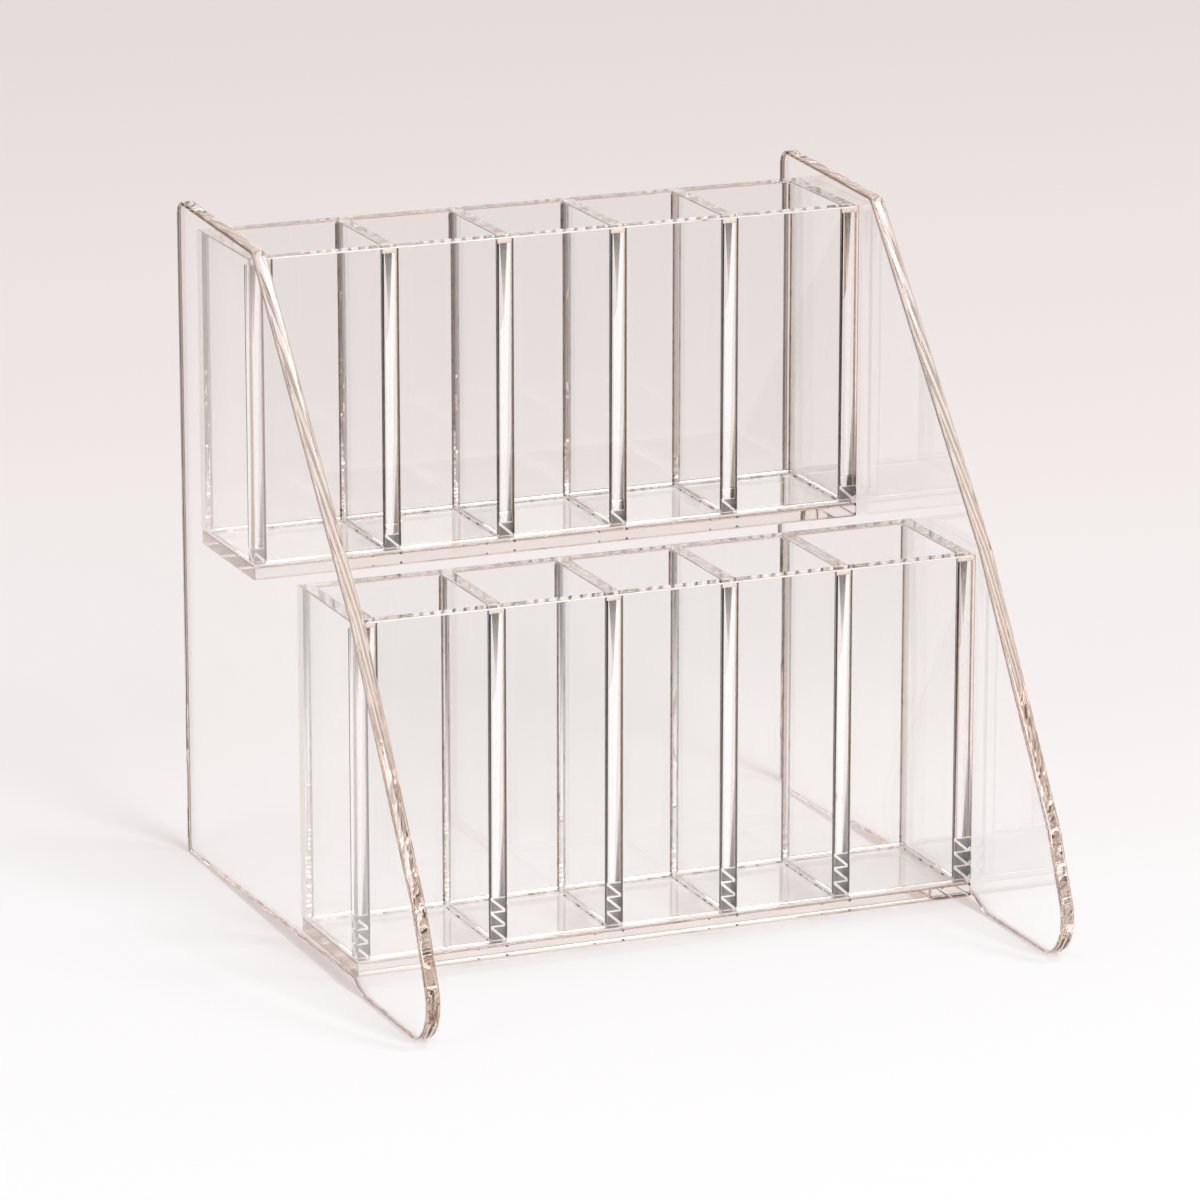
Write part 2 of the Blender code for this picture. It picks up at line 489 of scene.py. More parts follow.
HEEL_REAR, CREST = Vector((69.5, 0.0)) * MM, Vector((69.5, 140.0)) * MM
TOP_FRONT = Vector((23.7, 138.0)) * MM
FOOT_REAR, RELIEF = Vector((-34.5, 0.0)) * MM, Vector((-28.5, 2.2)) * MM
HEEL_FRONT = Vector((61.5, 0.0)) * MM
corners = [
    (HEEL_REAR, 1.0 * MM), (CREST, 3.0 * MM), (TOP_FRONT, 3.0 * MM), (KNEE, 0), (SHIN, 0),
    (nose_corner(), NOSE_RADIUS), (FOOT_REAR, 1.0 * MM), (RELIEF, 1.0 * MM), (HEEL_FRONT, 0),
]
outline = []
for index, (corner, radius) in enumerate(corners):
    outline += fillet(corners[index - 1][0], corner, corners[(index + 1) % len(corners)][0], radius)
print("outline points:", len(outline))

# %% [markdown]
# A bevel on so fine an edge is hard to control where the outline turns, so the rounding is
# drawn: each ring is the outline again, inset by what a quarter circle leaves at that depth.

# %% Rings across the sheet
PANEL_EDGE_ROUND = 0.55 * MM
ROUND_STEPS = 4
CRISP_CORNER = math.radians(14)


def inset_outline(points, inset):
    """The outline moved inwards, each point along the mitre of its two sides."""
    moved = []
    for index, point in enumerate(points):
        before = (point - points[index - 1]).normalized()
        after = (points[(index + 1) % len(points)] - point).normalized()
        inward = Vector((-(before.y + after.y), before.x + after.x)).normalized()
        mitre = inward.dot(Vector((-before.y, before.x)))
        moved.append(point + inward * inset / mitre)
    return moved


def side_panel(name, node):
    """One shaped side, between the two faces of its CAD node."""
    low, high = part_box(node)
    stations = []
    for step in range(ROUND_STEPS + 1):
        angle = math.pi / 2 * step / ROUND_STEPS
        depth = PANEL_EDGE_ROUND * (1 - math.cos(angle))
        inset = PANEL_EDGE_ROUND * (1 - math.sin(angle))
        stations.append((depth, inset))
    thickness = high.x - low.x
    stations += [(thickness - depth, inset) for depth, inset in reversed(stations)]
    shape = bmesh.new()
    rings = []
    for depth, inset in stations:
        ring = [shape.verts.new((low.x + depth, y, z)) for y, z in inset_outline(outline, inset)]
        rings.append(ring)
    for ring, beside in zip(rings, rings[1:]):
        for index in range(len(ring)):
            following = (index + 1) % len(ring)
            shape.faces.new((ring[index], ring[following], beside[following], beside[index]))
    shape.faces.new(rings[0])
    shape.faces.new(rings[-1])
    bmesh.ops.recalc_face_normals(shape, faces=shape.faces)
    shape.normal_update()
    layer = shape.loops.layers.float.new("cut_edge")
    for face in shape.faces:
        is_cap = len(face.verts) > 4
        face.smooth = not is_cap
        for loop in face.loops:
            loop[layer] = 0.0 if is_cap else 1.0
    for edge in shape.edges:
        if len(edge.link_faces) == 2:
            runs_across = abs(edge.verts[0].co.x - edge.verts[1].co.x) > 0
            edge.smooth = not (runs_across and edge.calc_face_angle() > CRISP_CORNER)
    place_piece(name, finished_mesh(shape, name, panel_acrylic), [node])


side_panel("polished_side_panel_left", "side_panel_left")
side_panel("polished_side_panel_right", "side_panel_right")

# %% [markdown]
# ## Tray floors
# A tray floor is a plain rectangle with its edges buffed round. A cube stretched between the
# node's corners, with a small three-step bevel, is the whole plate.

# %% Polished floors
EDGE_ROUND = 0.28 * MM
ROUND_SEGMENTS = 3
FLAT = 0.999


def polished_floor(low, high, name):
    """A mesh of one floor between two corners."""
    shape = bmesh.new()
    bmesh.ops.create_cube(shape, size=1.0)
    bmesh.ops.scale(shape, vec=high - low, verts=shape.verts)
    bmesh.ops.translate(shape, vec=(low + high) / 2, verts=shape.verts)
    bmesh.ops.bevel(shape, geom=shape.edges[:], offset=EDGE_ROUND, segments=ROUND_SEGMENTS,
                    profile=0.5, affect="EDGES")
    shape.normal_update()
    layer = shape.loops.layers.float.new("cut_edge")
    for face in shape.faces:
        face.smooth = max(abs(value) for value in face.normal) <= FLAT
        for loop in face.loops:
            loop[layer] = 0.0 if abs(face.normal.z) > FLAT else 1.0
    return finished_mesh(shape, name, floor_acrylic)


for tray in ("upper_tray", "lower_tray"):
    node = f"{tray}_floor"
    mesh = polished_floor(*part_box(node), "polished_" + node)
    place_piece("polished_" + node, mesh, [node])

# %% [markdown]
# ## Tray walls
# The back, the front, the two ends and the four dividers are bonded so well that light passes
# from one to the next without a break. Light caught in a divider runs on into the wall
# behind it, and that is why each joint shows as a dark line. So all the walls of a tray are one
# mesh: a plan of solid cells, raised to full height, with the joints' small fillets in the
# inner corners.

# %% Plan of the walls
DIVIDERS = [f"divider_{number}" for number in range(1, 5)]
CROSSING = ["end_wall_left"] + DIVIDERS + ["end_wall_right"]


def wall_plan(tray):
    """The upright sheets of a tray as one closed mesh with sharp corners."""
    front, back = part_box(f"{tray}_front_wall"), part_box(f"{tray}_back_wall")
    across = [side.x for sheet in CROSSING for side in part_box(f"{tray}_{sheet}")]
    along = [front[0].y, front[1].y, back[0].y, back[1].y]
    base, rim = front[0].z, front[1].z
    solid = {(column, row) for column in range(len(across) - 1) for row in range(3)
             if row != 1 or column % 2 == 0}
    shape = bmesh.new()
    points = {}

    def point(column, row, level):
        key = (column, row, level)
        if key not in points:
            points[key] = shape.verts.new((across[column], along[row], (base, rim)[level]))
        return points[key]

    for column, row in sorted(solid):
        ring = [(column, row), (column + 1, row), (column + 1, row + 1), (column, row + 1)]
        beside = [(column, row - 1), (column + 1, row), (column, row + 1), (column - 1, row)]
        shape.faces.new([point(*corner, 1) for corner in ring])
        shape.faces.new([point(*corner, 0) for corner in reversed(ring)])
        for index, neighbour in enumerate(beside):
            if neighbour not in solid:
                start, end = ring[index], ring[(index + 1) % 4]
                shape.faces.new((point(*start, 0), point(*end, 0), point(*end, 1),
                                 point(*start, 1)))
    shape.normal_update()
    bmesh.ops.dissolve_limit(shape, angle_limit=math.radians(1), verts=shape.verts,
                             edges=shape.edges)
    return shape


print("sheets across a tray:", len(CROSSING))

# %% [markdown]
# The plan has sharp corners. Two rounds of bevel finish it: first the inner corners, where the
# cement left a fillet that is larger at the front than at the rear, and then every outer edge,
# which is buffed. Bevel returns some faces in a new order on each run, so they are sorted.

# %% Walls as one bonded comb
FRONT_FILLET = 0.50 * MM
REAR_FILLET = 0.22 * MM
FILLET_SEGMENTS = 4


def bonded_walls(tray):
    """The walls of a tray with fillets in the joints and buffed edges."""
    shape = wall_plan(tray)
    middle = (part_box(f"{tray}_front_wall")[1].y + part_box(f"{tray}_back_wall")[0].y) / 2
    for is_front, radius in ((True, FRONT_FILLET), (False, REAR_FILLET)):
        inner = [edge for edge in shape.edges
                 if len(edge.link_faces) == 2 and not edge.is_convex
                 and edge.calc_face_angle() > 1 and (edge.verts[0].co.y < middle) == is_front]
        bmesh.ops.bevel(shape, geom=inner, offset=radius, segments=FILLET_SEGMENTS, profile=0.5,
                        affect="EDGES")
        shape.normal_update()
    outer = [edge for edge in shape.edges
             if len(edge.link_faces) == 2 and edge.calc_face_angle() > 1]
    bmesh.ops.bevel(shape, geom=outer, offset=EDGE_ROUND, segments=ROUND_SEGMENTS, profile=0.5,
                    affect="EDGES")
    bmesh.ops.recalc_face_normals(shape, faces=shape.faces)
    shape.normal_update()
    by_place = sorted(shape.faces, key=lambda face: tuple(face.calc_center_median()))
    rank = {face: number for number, face in enumerate(by_place)}
    shape.faces.sort(key=rank.get)
    layer = shape.loops.layers.float.new("cut_edge")
    for face in shape.faces:
        largest = max(abs(value) for value in face.normal)
        face.smooth = largest < FLAT
        is_sheet = largest > FLAT and abs(face.normal.z) < 0.5
        for loop in face.loops:
            loop[layer] = 0.0 if is_sheet else 1.0
    return finished_mesh(shape, f"{tray}_walls", wall_acrylic)


for tray in ("upper_tray", "lower_tray"):
    sheets = ["back_wall", "front_wall", "end_wall_left", "end_wall_right"] + DIVIDERS
    nodes = [f"{tray}_{sheet}" for sheet in sheets]
    place_piece(f"bonded_{tray}_walls", bonded_walls(tray), nodes)

# %% [markdown]
# ## Painted light and shade in the joints
# The end of each divider sits flat against the front wall. Seen through the clear wall, the
# joint shows a dark line along both sides, wider near the top, and small cells at the foot.
# Here these are painted films of light and shade: each film is a very thin plate of painted
# shade, painted highlight or painted reflection, and two attributes on its corners say how
# pale and how dense it is.

# %% Painted joint light material
PAINTED_LIGHT_TONES = [(0.0, (0.010, 0.009, 0.009)), (0.35, (0.16, 0.15, 0.145)),
              (0.55, (0.40, 0.28, 0.20)), (0.75, (0.90, 0.70, 0.54)), (0.95, (0.97, 0.96, 0.95))]
HATCH_SIZE = 0.22 * MM
HATCH_SLANT = math.radians(40)
HATCH_STRETCH = 0.15
HATCH_CONTRAST = 0.16


def painted_joint_light(name):
    """Painted shade and light: black, grey, brown, peach or white by "tone", as dense as "cover"
    says.
    """
    material, tree, place = new_material(name)
    slanted = Wire.node(tree, "ShaderNodeMapping", inputs={
        "Vector": place, "Rotation": (0, HATCH_SLANT, 0),
        "Scale": (1 / HATCH_SIZE, 1 / HATCH_SIZE, HATCH_STRETCH / HATCH_SIZE)})
    hatch = noise(slanted, 1.0, 2.0)
    pale = attribute(tree, "tone") + hatch * HATCH_CONTRAST - 0.5 * HATCH_CONTRAST
    film = Wire.node(tree, "ShaderNodeBsdfPrincipled", inputs={
        "Base Color": ramp(pale, PAINTED_LIGHT_TONES), "Roughness": 0.5, "Specular IOR Level": 0.0,
        "Alpha": attribute(tree, "cover") * (hatch * 0.5 + 0.75)})
    Wire.node(tree, "ShaderNodeOutputMaterial", inputs={"Surface": film})
    return material


painted_light_material = painted_joint_light("painted_joint_light")
print("film tones:", len(PAINTED_LIGHT_TONES))

# %% [markdown]
# A plane with one face would do for a film, but only a closed shape exports without doubt, so
# a film is a plate with two faces and a rim. Tone and cover sit on its corners and fade
# between them.

# %% One film
FILM_THICKNESS = 0.04 * MM


def film_plate(shape, front, corners, faces_side=False):
    """Add a thin plate at y = front. Each corner is its x and z, then its tone and its cover.

    A plate that faces the side is at x = front instead, and its corners give y and z.
    """
    tone, cover = shape.verts.layers.float["tone"], shape.verts.layers.float["cover"]
    rings = []
    for reach in (front, front + FILM_THICKNESS):
        ring = []
        for across, z, pale, dense in corners:
            vertex = shape.verts.new((reach, across, z) if faces_side else (across, reach, z))
            vertex[tone], vertex[cover] = pale, dense
            ring.append(vertex)
        rings.append(ring)
    near, far = rings
    shape.faces.new(near)
    shape.faces.new(reversed(far))
    for index in range(len(near)):
        following = (index + 1) % len(near)
        shape.faces.new((near[index], far[index], far[following], near[following]))


print("film thickness, mm:", FILM_THICKNESS / MM)

# %% [markdown]
# The painted films of one joint are a handful of outlines: a black line of painted shade on
# the left, a wedge of painted shade that opens towards the rim, a brown painted line on the
# right, the white core between them as a painted highlight, a painted shadow near the foot, a
# peach cap of painted reflection, and the small cells of painted reflection. Each is given by
# its corners, which are listed one by one, because no rule of the shape gives them.

# %% Films at the divider ends
NECK_DEPTH = 1.7 * MM
CELL_HEIGHT = 3.0 * MM
CELL_GAP = 0.36 * MM
CELL_SPACING = 0.34 * MM
CELL_RISE = 0.1 * MM
BACKING_DEPTH = 0.06 * MM


def end_films(shape, left, right, front, base, rim, cells):
    """The painted light and shade films between one divider end and the front wall."""
    foot = base + cells * CELL_HEIGHT
    neck = rim - NECK_DEPTH
    edge = left - 0.12 * MM
    black_line = [(edge, foot, 0.1, 0.55), (left + 0.12 * MM, foot, 0.1, 0.55),
                  (left + 0.24 * MM, neck, 0.0, 0.95), (edge, neck, 0.0, 0.95)]
    open_wedge = [(left + 1.25 * MM, rim - 16 * MM, 0.5, 0.05),
                  (left + 1.95 * MM, neck, 0.38, 0.7), (left + 0.42 * MM, neck, 0.34, 0.7)]
    brown_line = [(right - 0.22 * MM, foot, 0.5, 0.8), (right, foot, 0.5, 0.8),
                  (right, neck, 0.65, 0.8), (right - 0.22 * MM, neck, 0.65, 0.8)]
    white_core = [(left + 0.5 * MM, foot, 1.0, 0.5), (right - 1.45 * MM, foot, 1.0, 0.5),
                  (right - 0.3 * MM, neck, 1.0, 0.6), (left + 2.05 * MM, neck, 1.0, 0.6),
                  (left + 1.3 * MM, rim - 17 * MM, 1.0, 0.5),
                  (left + 0.5 * MM, rim - 20 * MM, 1.0, 0.5)]
    foot_shadow = [(right - 1.25 * MM, foot, 0.34, 0.4), (right - 0.3 * MM, foot, 0.2, 0.65),
                   (right - 0.25 * MM, foot + 20 * MM, 0.34, 0.1)]
    peach_cap = [(left + 0.1 * MM, neck, 0.7, 0.5), (right - 0.1 * MM, neck, 0.68, 0.5),
                 (right - 0.5 * MM, rim - 0.4 * MM, 0.9, 0.5),
                 (left + 0.5 * MM, rim - 0.4 * MM, 0.9, 0.5)]
    for corners in (black_line, open_wedge, brown_line, white_core, foot_shadow, peach_cap):
        film_plate(shape, front, corners)
    film_plate(shape, front + BACKING_DEPTH, [(left, base, 1.0, 0.5), (right, base, 1.0, 0.5),
                                              (right, foot, 1.0, 0.3), (left, foot, 1.0, 0.3)])
    for cell in range(cells):
        low = base + cell * CELL_HEIGHT + CELL_RISE
        high = low + CELL_HEIGHT - CELL_SPACING
        film_plate(shape, front, [(left, low, 0.36, 0.5), (right - CELL_GAP, low, 0.44, 0.4),
                                  (left, high - CELL_GAP, 0.32, 0.55)])
        film_plate(shape, front, [(right, high, 0.30, 0.5), (left + CELL_GAP, high, 0.44, 0.36),
                                  (right, low + CELL_GAP, 0.24, 0.6)])


print("cell height, mm:", CELL_HEIGHT / MM)

# %% [markdown]
# Every sheet that meets a front wall gets one set of films. The upper tray's joints show one
# cell at the foot and the lower tray's show three. The back wall ends against the side panels,
# and the light on those two cut ends shows as a pale strip, so each gets a pale plate that faces
# the side: a painted highlight.

# %% Films of both trays
FOOT_CELLS = {"upper_tray": 1, "lower_tray": 3}
END_TONE, END_COVER = 0.9, 0.72
FILM_SETBACK = 0.1 * MM
LEFT_GAP, RIGHT_GAP = 0.2 * MM, 0.16 * MM

for tray, cells in FOOT_CELLS.items():
    shape = bmesh.new()
    shape.verts.layers.float.new("tone")
    shape.verts.layers.float.new("cover")
    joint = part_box(f"{tray}_front_wall")[1].y + FILM_SETBACK
    for sheet in CROSSING:
        low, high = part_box(f"{tray}_{sheet}")
        end_films(shape, low.x, high.x, joint, low.z, high.z, cells)
    low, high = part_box(f"{tray}_back_wall")
    back_end = [(low.y, low.z), (high.y, low.z), (high.y, high.z), (low.y, high.z)]
    for side in (low.x - LEFT_GAP, high.x + RIGHT_GAP):
        film_plate(shape, side, [(y, z, END_TONE, END_COVER) for y, z in back_end], faces_side=True)
    bmesh.ops.recalc_face_normals(shape, faces=shape.faces)
    mesh = finished_mesh(shape, tray + "_air_films", painted_light_material)
    place_piece(tray + "_air_films", mesh)

# %% [markdown]
# ## Geometry Nodes
# Threads of cement, lines of light and bubbles all repeat along the joints, so node trees make
# them. A tree is built here like a material, with named inputs. It runs on a helper object
# that carries only bare edges or points, its result is kept as a plain mesh, and the helper is
# removed.

# %% Geometry tree helpers
def new_tree(name, inputs):
    """A geometry tree that takes and gives a mesh, and Wires from that mesh and these inputs."""
    tree = bpy.data.node_groups.new(name, "GeometryNodeTree")
    tree.interface.new_socket("Geometry", in_out="OUTPUT", socket_type="NodeSocketGeometry")
    for label, kind in {"Geometry": "Geometry", **inputs}.items():
        tree.interface.new_socket(label, in_out="INPUT", socket_type="NodeSocket" + kind)
    given = Wire.node(tree, "NodeGroupInput").socket.node.outputs
    return tree, {label: Wire(given[label]) for label in ("Geometry", *inputs)}


def end_tree(tree, geometry, material):
    """Make instances real, set the material, and give the mesh out."""
    real = Wire.node(tree, "GeometryNodeRealizeInstances", inputs={"Geometry": geometry})
    dressed = Wire.node(tree, "GeometryNodeSetMaterial",
                        inputs={"Geometry": real, "Material": material})
    Wire.node(tree, "NodeGroupOutput", inputs={"Geometry": dressed})


def run_tree(tree, mesh, values, name):
    """The plain mesh that a tree makes of this mesh with these inputs."""
    holder = bpy.data.objects.new(name, mesh)
    scene.collection.objects.link(holder)
    modifier = holder.modifiers.new("nodes", "NODES")
    modifier.node_group = tree
    for item in tree.interface.items_tree:
        if item.in_out == "INPUT" and item.name in values:
            modifier[item.identifier] = values[item.name]
    evaluated = holder.evaluated_get(bpy.context.evaluated_depsgraph_get())
    result = bpy.data.meshes.new_from_object(evaluated)
    result.name = name
    bpy.data.objects.remove(holder)
    return result


print("tree helpers are ready")

# %% [markdown]
# ## Cement threads
# Threads run up every inner corner of a slot and round its floor. A few points describe the
# lines, and a tree sweeps a small six-sided section along them. Noise changes its radius, so
# the thread swells and thins as hand-laid cement does.

# %% Where the cement runs
THREAD_RADIUS = 0.20 * MM
THREAD_TOP_MARGIN = 0.6 * MM
# How much painted shade the rear corner threads get; the front ones get all of it.
REAR_PAINTED_SHADE = 0.6


def slot_corners(tray):
    """The x limits of each slot, its front and back, and the heights of floor and rim."""
    walls = [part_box(f"{tray}_{sheet}") for sheet in CROSSING]
    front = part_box(f"{tray}_front_wall")[1].y
    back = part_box(f"{tray}_back_wall")[0].y
    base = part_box(f"{tray}_floor")[1].z
    rim = walls[0][1].z
    spans = [(left[1].x, right[0].x) for left, right in zip(walls, walls[1:])]
    return spans, front, back, base, rim


def bare_lines(name, lines):
    """A mesh of bare edges. A line is a list of points, each a place and its attributes."""
    shape = bmesh.new()
    labels = ("tone", "cover", "thick", "smoke")
    layers = {label: shape.verts.layers.float.new(label) for label in labels}
    for line in lines:
        before = None
        for place, marks in line:
            vertex = shape.verts.new(place)
            for label, value in marks.items():
                vertex[layers[label]] = value
            if before:
                shape.edges.new((before, vertex))
            before = vertex
    return finished_mesh(shape, name, None)


def thread_lines(tray, margin):
    """The joints of a tray as lines: the rings round the slot floors, and the inner corners."""
    spans, front, back, base, rim = slot_corners(tray)
    lines = []
    for left, right in spans:
        ring = [(left + margin, front + margin), (right - margin, front + margin),
                (right - margin, back - margin), (left + margin, back - margin)]
        # Painted shade: none on the floor rings, full up the front corners, less up the rear ones.
        clear = {"thick": 1.0, "smoke": 0.0}
        lines.append([((x, y, base + margin), clear) for x, y in ring + ring[:1]])
        for x, y in ring:
            marks = {"thick": 1.0, "smoke": 1.0 if y < (front + back) / 2 else REAR_PAINTED_SHADE}
            lines.append([((x, y, base + 3 * margin), marks),
                          ((x, y, rim - THREAD_TOP_MARGIN), marks)])
    return lines


print("thread radius, mm:", THREAD_RADIUS / MM)

# %% [markdown]
# The tree turns the lines into curves, cuts them into short steps, lets noise and the "thick"
# attribute set the radius of each point, and sweeps a small ring along them.

# %% The thread tree
SWELL_LENGTH = 5 * MM
THREAD_SIDES = 6

thread_tree, given = new_tree("cement_threads", {"Radius": "Float", "Step": "Float",
                                                 "Seed": "Float", "Material": "Material"})
curves = Wire.node(thread_tree, "GeometryNodeMeshToCurve", inputs={"Mesh": given["Geometry"]})
stepped = Wire.node(thread_tree, "GeometryNodeResampleCurve", {"mode": "LENGTH"},
                    {"Curve": curves, "Length": given["Step"]})
position = Wire.node(thread_tree, "GeometryNodeInputPosition")
swell = noise(position, SWELL_LENGTH, 2.0, given["Seed"]) * 1.1 + 0.45
thick = Wire.node(thread_tree, "GeometryNodeInputNamedAttribute", {"data_type": "FLOAT"},
                  {"Name": "thick"})
radii = Wire.node(thread_tree, "GeometryNodeSetCurveRadius",
                  inputs={"Curve": stepped, "Radius": swell * thick})
section = Wire.node(thread_tree, "GeometryNodeCurvePrimitiveCircle", {"mode": "RADIUS"},
                    {"Resolution": THREAD_SIDES, "Radius": given["Radius"]})
swept = Wire.node(thread_tree, "GeometryNodeCurveToMesh",
                  inputs={"Curve": radii, "Profile Curve": section, "Fill Caps": True})
end_tree(thread_tree, swept, given["Material"])
print("thread tree nodes:", len(thread_tree.nodes))

# %% [markdown]
# The tree runs once for each tray. Each run has its own seed, so that the two trays don't
# swell in the same places.

# %% Sweep the threads
SWEEP_STEP = 1.5 * MM

for number, tray in enumerate(("upper_tray", "lower_tray")):
    joints = bare_lines(tray + "_joints", thread_lines(tray, THREAD_RADIUS * 1.2))
    sizes = {"Radius": THREAD_RADIUS, "Step": SWEEP_STEP, "Seed": float(number), "Material": cement}
    mesh = run_tree(thread_tree, joints, sizes, tray + "_cement")
    place_piece(tray + "_cement", mesh)

# %% [markdown]
# ## Lit edges
# A cut edge gathers the light that the whole sheet has caught, so it shows fine lines: white
# along a front rim, peach along a side, nearly black where it looks back into the room. Here
# those lines are painted, as thin threads of painted highlight, painted reflection and painted
# shade that lie a hair under the surface. The same tree sweeps them along the outline of a
# panel and along the rims, and chance makes them come and go.

# %% Lines along the edges
LINE_RADIUS = 0.13 * MM
LINE_STEP = 2.5 * MM
LINE_DEPTH = 0.28 * MM
LINE_INSET = 0.5 * MM


def along(start, end, marks, chance, fade, patches):
    """A straight line whose cover wavers by the share fade, with dark and pale patches."""
    start, end = Vector(start), Vector(end)
    steps = math.ceil((end - start).length / LINE_STEP)
    line = []
    for step in range(steps + 1):
        tone, cover, thick = marks
        pick = chance.random()
        if pick < patches[0]:
            tone = 0.6 * tone
        elif pick > 1 - patches[1]:
            tone = max(tone, min(0.95, 2 * tone))
        wavered = {"tone": tone, "cover": cover * (1 - fade * chance.random()), "thick": thick}
        line.append((start.lerp(end, step / steps), wavered))
    return line


print("line radius, mm:", LINE_RADIUS / MM)

# %% [markdown]
# A panel's lines follow its own outline, moved inwards a little. What a stretch of it looks
# back at sets its painted tone: nearly black painted shade at the rear, peach painted
# reflection at the top and the front, and a pale painted highlight underneath.

# %% Lines of a side panel
PANEL_LINES = {"rear": (0.08, 0.95, 2.8), "top": (0.64, 0.55, 1.0), "front": (0.70, 0.55, 1.0),
               "bottom": (0.90, 0.50, 0.8)}
REAR_LINE_SHIFT = 0.35 * MM
PANEL_FADE = 0.6
PANEL_PATCHES = (0.12, 0.30)


def panel_lines(node, chance):
    """Two lines under the edge of a side panel, all the way round."""
    low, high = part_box(node)
    path = inset_outline(outline, LINE_DEPTH)
    lines = []
    for x in (low.x + LINE_INSET, high.x - LINE_INSET):
        for index, (y, z) in enumerate(path):
            next_y, next_z = path[(index + 1) % len(path)]
            middle_y, middle_z = (y + next_y) / 2, (z + next_z) / 2
            if middle_y > high.y - 1 * MM:
                side = "rear"
            elif middle_z > high.z - 5 * MM:
                side = "top"
            elif middle_z < 4 * MM and middle_y > low.y + 4 * MM:
                side = "bottom"
            else:
                side = "front"
            shift = REAR_LINE_SHIFT if side == "rear" else 0.0
            lines.append(along((x, y - shift, z), (x, next_y - shift, next_z), PANEL_LINES[side],
                               chance, PANEL_FADE, PANEL_PATCHES))
    return lines


print("panel zones:", ", ".join(PANEL_LINES))

# %% [markdown]
# The front rim of a tray gets the brightest painted highlight, because its round edge faces the
# light. The painted lines under the rear rim, the two front edges of the floor and both sides of
# every divider's rim are fainter.

# %% Lines of a tray
RIM_LINE_DEPTH = 0.26 * MM
FLOOR_LINE_DEPTH = 0.3 * MM
SIDE_LINE_INSET = 0.35 * MM
RIM_PATCHES = (0.04, 0.0)


def tray_lines(tray, chance):
    """Lines under the rims of a tray and the front edges of its floor."""
    spans, front, back, base, rim = slot_corners(tray)
    outer_low, outer_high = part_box(f"{tray}_floor")
    left, right = outer_low.x + LINE_INSET, outer_high.x - LINE_INSET
    near, far = outer_low.y + RIM_LINE_DEPTH, outer_high.y - RIM_LINE_DEPTH
    under_rim = rim - RIM_LINE_DEPTH
    floor_top, floor_bottom = base - FLOOR_LINE_DEPTH, outer_low.z + FLOOR_LINE_DEPTH
    lines = []
    for y, z, marks, fade in ((near, under_rim, (1.0, 0.95, 1.1), 0.1),
                              (far, under_rim, (0.70, 0.5, 0.7), 0.6),
                              (near, floor_top, (0.60, 0.7, 0.8), 0.5),
                              (near, floor_bottom, (0.66, 0.5, 0.7), 0.6)):
        lines.append(along((left, y, z), (right, y, z), marks, chance, fade, RIM_PATCHES))
    for start, end in spans:
        for x, marks in ((start - SIDE_LINE_INSET, (0.80, 0.8, 1.0)),
                         (end + SIDE_LINE_INSET, (0.95, 0.8, 1.0))):
            lines.append(along((x, front, under_rim), (x, back, under_rim), marks, chance, 0.7,
                               RIM_PATCHES))
    return lines


print("rim line depth, mm:", RIM_LINE_DEPTH / MM)

# %% [markdown]
# With a thinner radius and the material of the films, the tree for the threads sweeps these
# lines too. One chance serves all four pieces, in this order, and its seed is fixed, so the
# lines are the same on every run.

# %% Draw the lit edges
chance = random.Random(5)
line_sizes = {"Radius": LINE_RADIUS, "Step": SWEEP_STEP, "Material": painted_light_material}
for node in ("side_panel_left", "side_panel_right"):
    lines = bare_lines(f"{node}_paths", panel_lines(node, chance))
    mesh = run_tree(thread_tree, lines, {**line_sizes, "Seed": 3.0}, f"{node}_lit_edge")
    place_piece(f"{node}_lit_edge", mesh)
for tray in ("upper_tray", "lower_tray"):
    lines = bare_lines(f"{tray}_paths", tray_lines(tray, chance))
    mesh = run_tree(thread_tree, lines, {**line_sizes, "Seed": 4.0}, f"{tray}_lit_edges")
    place_piece(f"{tray}_lit_edges", mesh)

# %% [markdown]
# ## Trapped bubbles
# Where the two sheets didn't quite meet, the cement closed round a little air. Bubbles sit
# along the foot of each divider, stacked in its rear corner, and in the front edge of the
# floor. Points say where each one is and how far it stretches, and a tree sets a small ball on
# every point.

# %% Bubble material
# The bubbles are opaque balls: their dark colour is painted shade for how a bubble looks in clear
# plastic, and the noise adds painted glints.
BUBBLE_PAINTED_SHADE = (0.03, 0.027, 0.025)
BUBBLE_PAINTED_GLINT = (0.30, 0.25, 0.22)
SHINE_SIZE = 0.5 * MM

trapped_air, tree, place = new_material("trapped_air")
painted_glint = ramp(noise(place, SHINE_SIZE, 1.0), [(0.45, BUBBLE_PAINTED_SHADE), (0.75, BUBBLE_PAINTED_GLINT)])
skin = Wire.node(tree, "ShaderNodeBsdfPrincipled", inputs={"Base Color": painted_glint, "Roughness": 0.25})
Wire.node(tree, "ShaderNodeOutputMaterial", inputs={"Surface": skin})
print("material:", trapped_air.name)

# %% [markdown]
# The tree puts a ball of radius one on every point and stretches it by the point's "extent".
# Two subdivisions are round enough for a ball of a quarter of a millimetre.

# %% The bubble tree
bubble_tree, given = new_tree("trapped_bubbles", {"Material": "Material"})
extent = Wire.node(bubble_tree, "GeometryNodeInputNamedAttribute", {"data_type": "FLOAT_VECTOR"},
                   {"Name": "extent"})
ball = Wire.node(bubble_tree, "GeometryNodeMeshIcoSphere",
                 inputs={"Radius": 1.0, "Subdivisions": 2})
balls = Wire.node(bubble_tree, "GeometryNodeInstanceOnPoints",
                  inputs={"Points": given["Geometry"], "Instance": ball, "Scale": extent})
end_tree(bubble_tree, balls, given["Material"])
print("bubble tree nodes:", len(bubble_tree.nodes))

# %% [markdown]
# The points follow what happens in a joint. Air stays along the foot of a divider, climbs its
# rear corner, and shows in the front edge of the floor on both sides of it.

